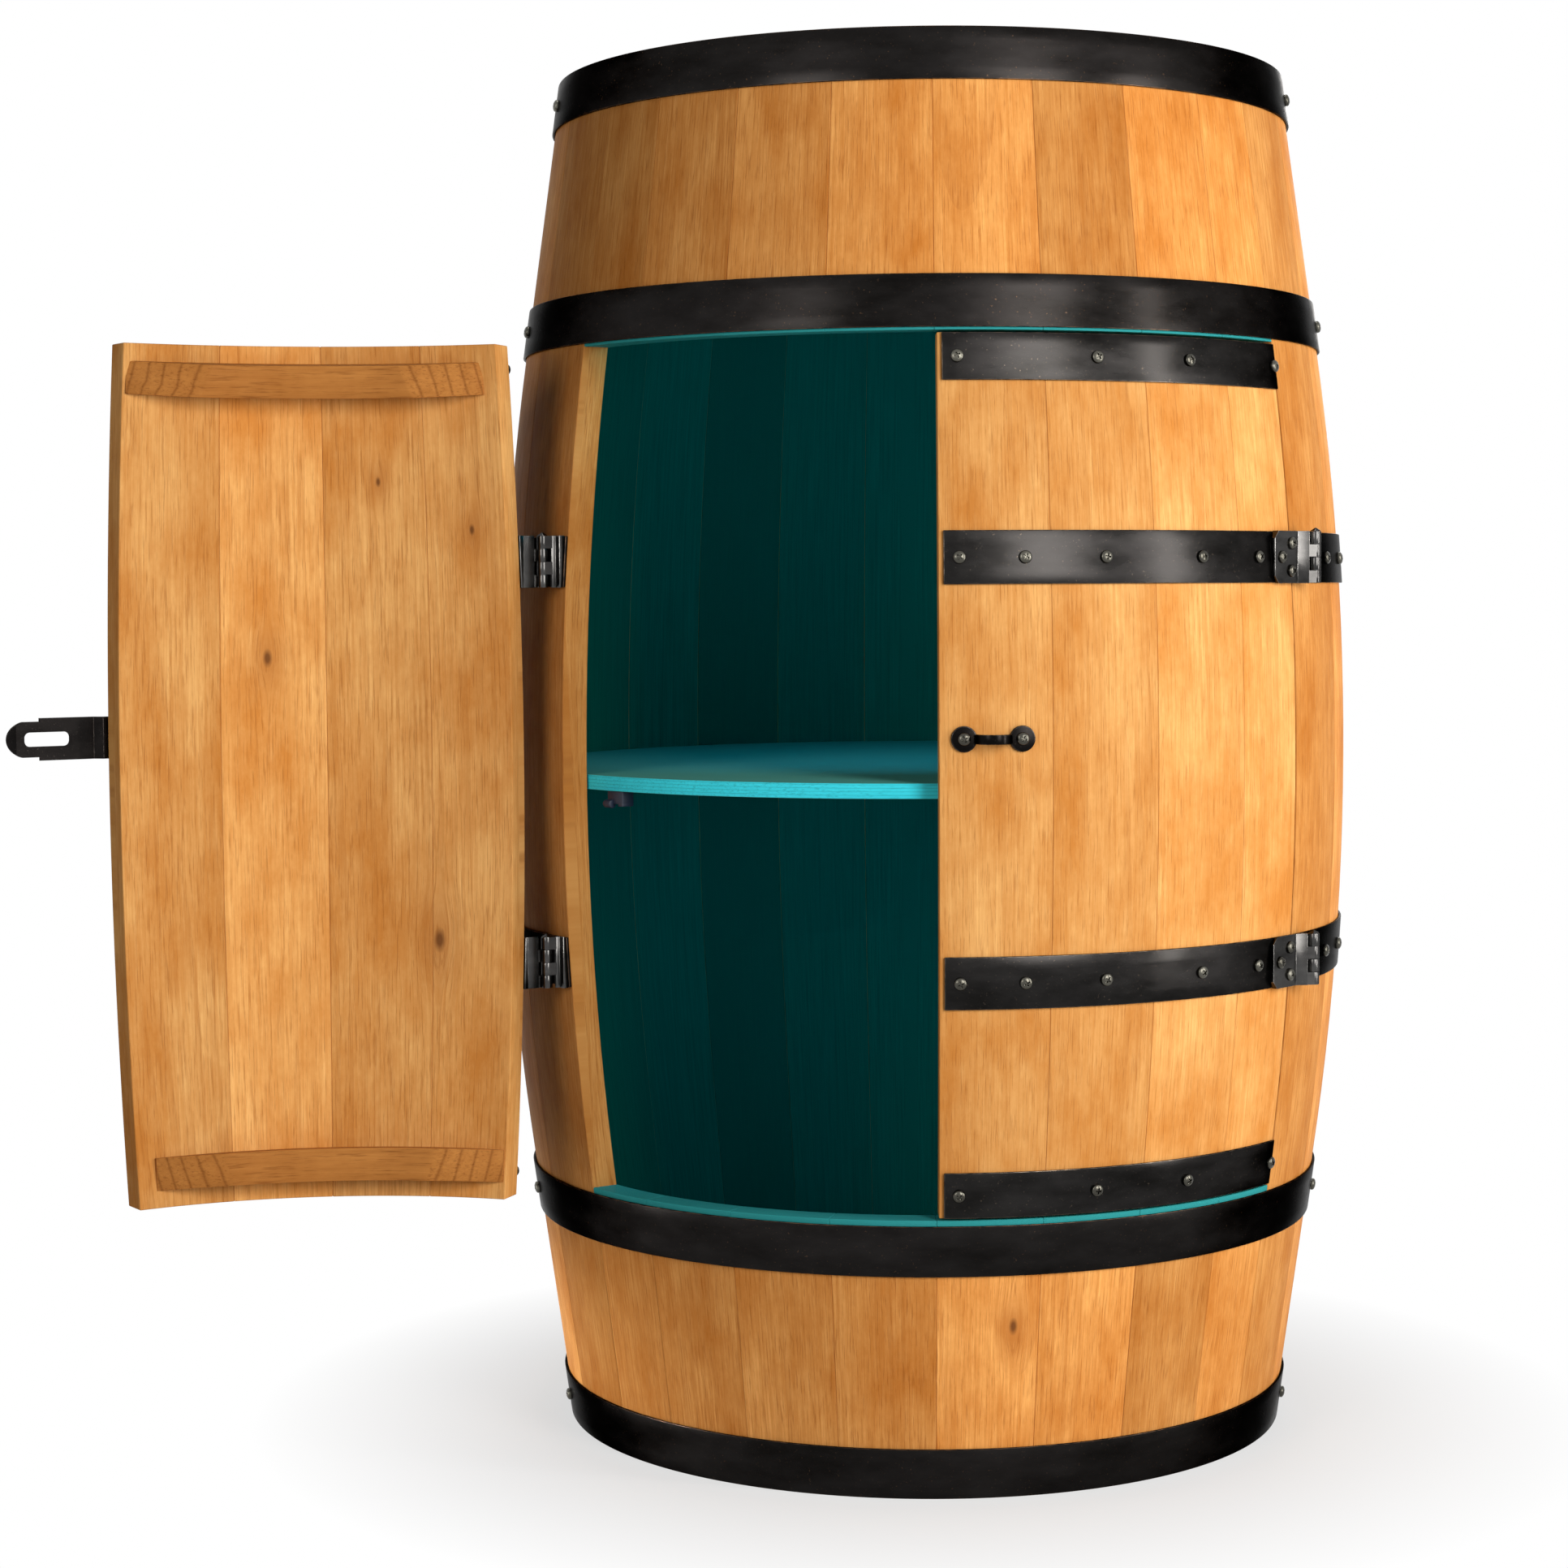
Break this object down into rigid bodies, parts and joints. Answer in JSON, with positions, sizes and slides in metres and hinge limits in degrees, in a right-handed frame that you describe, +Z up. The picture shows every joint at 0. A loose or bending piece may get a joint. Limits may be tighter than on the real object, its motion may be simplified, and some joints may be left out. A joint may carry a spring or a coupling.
{
  "type": "barrel bar cabinet",
  "caption": "Upright wooden barrel cabinet with black steel hoops, curved swinging doors closed by a hasp and staple, an inner shelf and a light strip, for keeping bottles and glasses.",
  "frame": {"origin": "on the barrel axis at the floor, in the plane of the bottom rim", "axes": "+Z up along the barrel axis; the doorway faces -Y; +X is to the right of a person facing the doorway"},
  "size_m": [0.7611, 0.5185, 0.8],
  "materials": {
    "stave_wood": "satin honey stained wood",
    "door_wood": "satin honey stained wood",
    "head_wood": "satin honey stained wood",
    "rib_plywood": "stained plywood with visible plies",
    "shelf_plywood": "blue-green stained plywood with visible plies",
    "cleat_wood": "dark blue-green stained wood",
    "hoop_steel": "satin black",
    "band_steel": "satin black",
    "hinge_steel": "gloss black",
    "hasp_steel": "gloss black",
    "screw_steel": "semi-gloss black, worn bright in the recess",
    "light_strip": "milky, lit from inside",
    "control_box": "matt black"
  },
  "bodies": {
    "barrel": {"bottom_chime_hoop": "hoop_steel", "bottom_head": "head_wood", "hoop_screws": "screw_steel", "led_receiver": "control_box", "led_strip": "light_strip", "left_hinge_pins": "hinge_steel", "left_lower_hinge_barrel_leaf": "hinge_steel", "left_upper_hinge_barrel_leaf": "hinge_steel", "lower_bilge_hoop": "hoop_steel", "lower_front_staves": "stave_wood", "lower_quarter_hoop": "hoop_steel", "middle_shelf": "shelf_plywood", "right_hinge_pins": "hinge_steel", "right_lower_hinge_barrel_leaf": "hinge_steel", "right_upper_hinge_barrel_leaf": "hinge_steel", "shelf_supports": "cleat_wood", "stave_01": "stave_wood", "stave_02": "stave_wood", "stave_03": "stave_wood", "stave_04": "stave_wood", "stave_05": "stave_wood", "stave_06": "stave_wood", "stave_07": "stave_wood", "stave_08": "stave_wood", "stave_09": "stave_wood", "stave_10": "stave_wood", "stave_11": "stave_wood", "stave_12": "stave_wood", "stave_13": "stave_wood", "stave_14": "stave_wood", "stave_15": "stave_wood", "stave_16": "stave_wood", "stave_17": "stave_wood", "top_chime_hoop": "hoop_steel", "top_head": "head_wood", "upper_bilge_hoop": "hoop_steel", "upper_front_staves": "stave_wood", "upper_quarter_hoop": "hoop_steel"},
    "left_door": {"hasp_leaf": "hasp_steel", "hasp_pin": "hasp_steel", "left_bottom_band": "band_steel", "left_door_ribs": "rib_plywood", "left_door_screws": "screw_steel", "left_door_staves": "door_wood", "left_lower_bilge_band": "band_steel", "left_lower_hinge_door_leaf": "hinge_steel", "left_top_band": "band_steel", "left_upper_bilge_band": "band_steel", "left_upper_hinge_door_leaf": "hinge_steel"},
    "right_door": {"right_bottom_band": "band_steel", "right_door_ribs": "rib_plywood", "right_door_screws": "screw_steel", "right_door_staves": "door_wood", "right_lower_bilge_band": "band_steel", "right_lower_hinge_door_leaf": "hinge_steel", "right_top_band": "band_steel", "right_upper_bilge_band": "band_steel", "right_upper_hinge_door_leaf": "hinge_steel", "staple": "hasp_steel"},
    "hasp_strap": {"hasp_strap": "hasp_steel"}
  },
  "joints": [
    {"name": "left_door_hinge", "type": "hinge", "parent": "barrel", "child": "left_door", "pos_m": [-0.21722, -0.1454, 0.4028], "axis": [0, 0, 1], "range_deg": [-30, 145]},
    {"name": "right_door_hinge", "type": "hinge", "parent": "barrel", "child": "right_door", "pos_m": [0.21722, -0.1454, 0.4028], "axis": [0, 0, 1], "range_deg": [0, 175]},
    {"name": "hasp_hinge", "type": "hinge", "parent": "left_door", "child": "hasp_strap", "pos_m": [-0.44927, -0.17178, 0.42], "axis": [0, 0, -1], "range_deg": [0, 160]}
  ]
}
